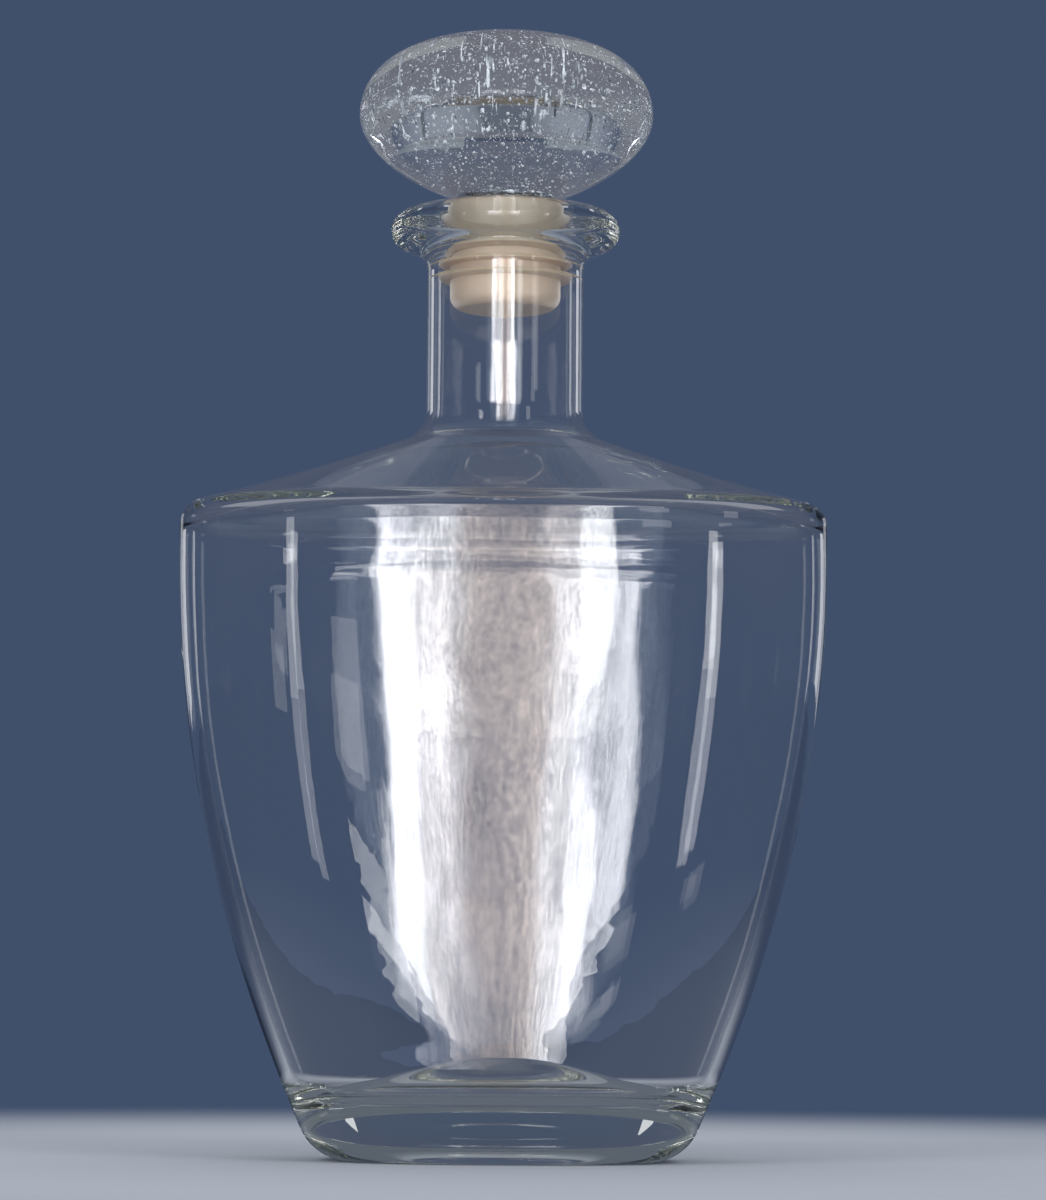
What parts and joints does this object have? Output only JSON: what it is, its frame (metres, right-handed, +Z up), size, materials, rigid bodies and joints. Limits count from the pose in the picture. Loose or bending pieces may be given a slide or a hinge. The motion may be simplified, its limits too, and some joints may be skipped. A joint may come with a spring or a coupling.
{
  "type": "glass decanter",
  "caption": "Clear glass decanter with a flattened oval body, broad shoulders, a straight neck with a disc lip, and a bubbled glass knob stopper in a finned plastic sleeve.",
  "frame": {"origin": "middle of the foot, on the surface that the decanter stands on", "axes": "+Z up along the neck, +X across the broad face, +Y through the flat of the body to the back"},
  "size_m": [0.149, 0.076, 0.2591],
  "materials": {
    "clear_glass": "fire-polished clear soda-lime glass",
    "bubbled_glass": "fire-polished clear glass full of seed bubbles",
    "ivory_plastic": "moulded ivory polyethylene, softly glossy"
  },
  "bodies": {
    "decanter": {"decanter_body": "clear_glass"},
    "sleeve": {"stopper_plug": "ivory_plastic"},
    "knob": {"stopper_head": "bubbled_glass"}
  },
  "joints": [
    {"name": "stopper_lift", "type": "slide", "parent": "decanter", "child": "sleeve", "axis": [0, 0, 1], "range_m": [0, 0.045]},
    {"name": "stopper_twist", "type": "hinge", "parent": "sleeve", "child": "knob", "pos_m": [0, 0, 0.221], "axis": [0, 0, 1], "continuous": true}
  ]
}
